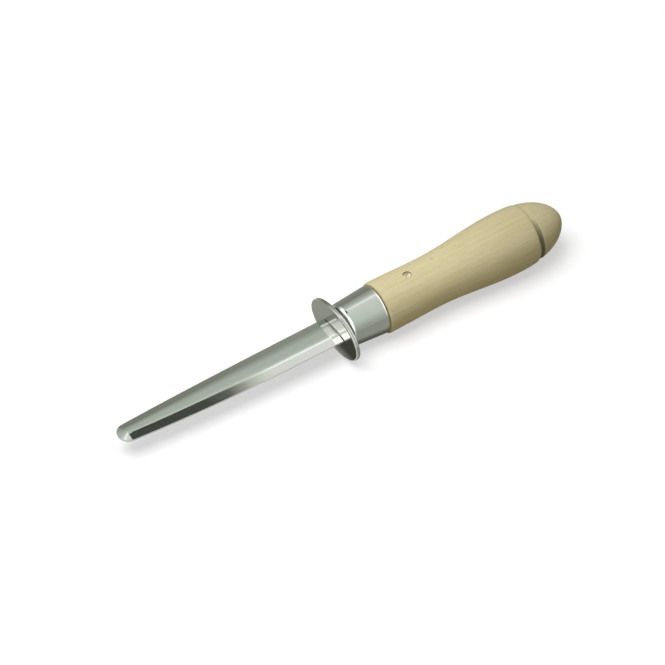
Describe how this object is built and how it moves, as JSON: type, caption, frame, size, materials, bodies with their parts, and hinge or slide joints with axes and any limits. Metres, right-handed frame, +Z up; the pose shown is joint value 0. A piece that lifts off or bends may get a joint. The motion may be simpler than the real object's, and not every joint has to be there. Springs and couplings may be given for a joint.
{
  "type": "oyster knife",
  "caption": "Oyster knife with a stiff bevelled steel blade that sweeps up a little, an oval guard, a conical ferrule and a turned wooden handle with a domed end.",
  "frame": {"origin": "on the table, under the middle of the knife's length and width, where the knife lies at rest on its guard and on the bulb of its handle", "axes": "+X from the point of the blade towards the butt of the handle, +Y across the blade, +Z up"},
  "size_m": [0.225, 0.035, 0.0282],
  "materials": {
    "blade_steel": "polished",
    "guard_steel": "polished",
    "ferrule_steel": "polished, faint turning lines",
    "handle_wood": "pale beech, satin, lightly sealed",
    "pin_steel": "satin"
  },
  "bodies": {
    "root": {"blade": "blade_steel", "guard": "guard_steel", "ferrule": "ferrule_steel", "handle": "handle_wood", "pin": "pin_steel"}
  },
  "joints": []
}
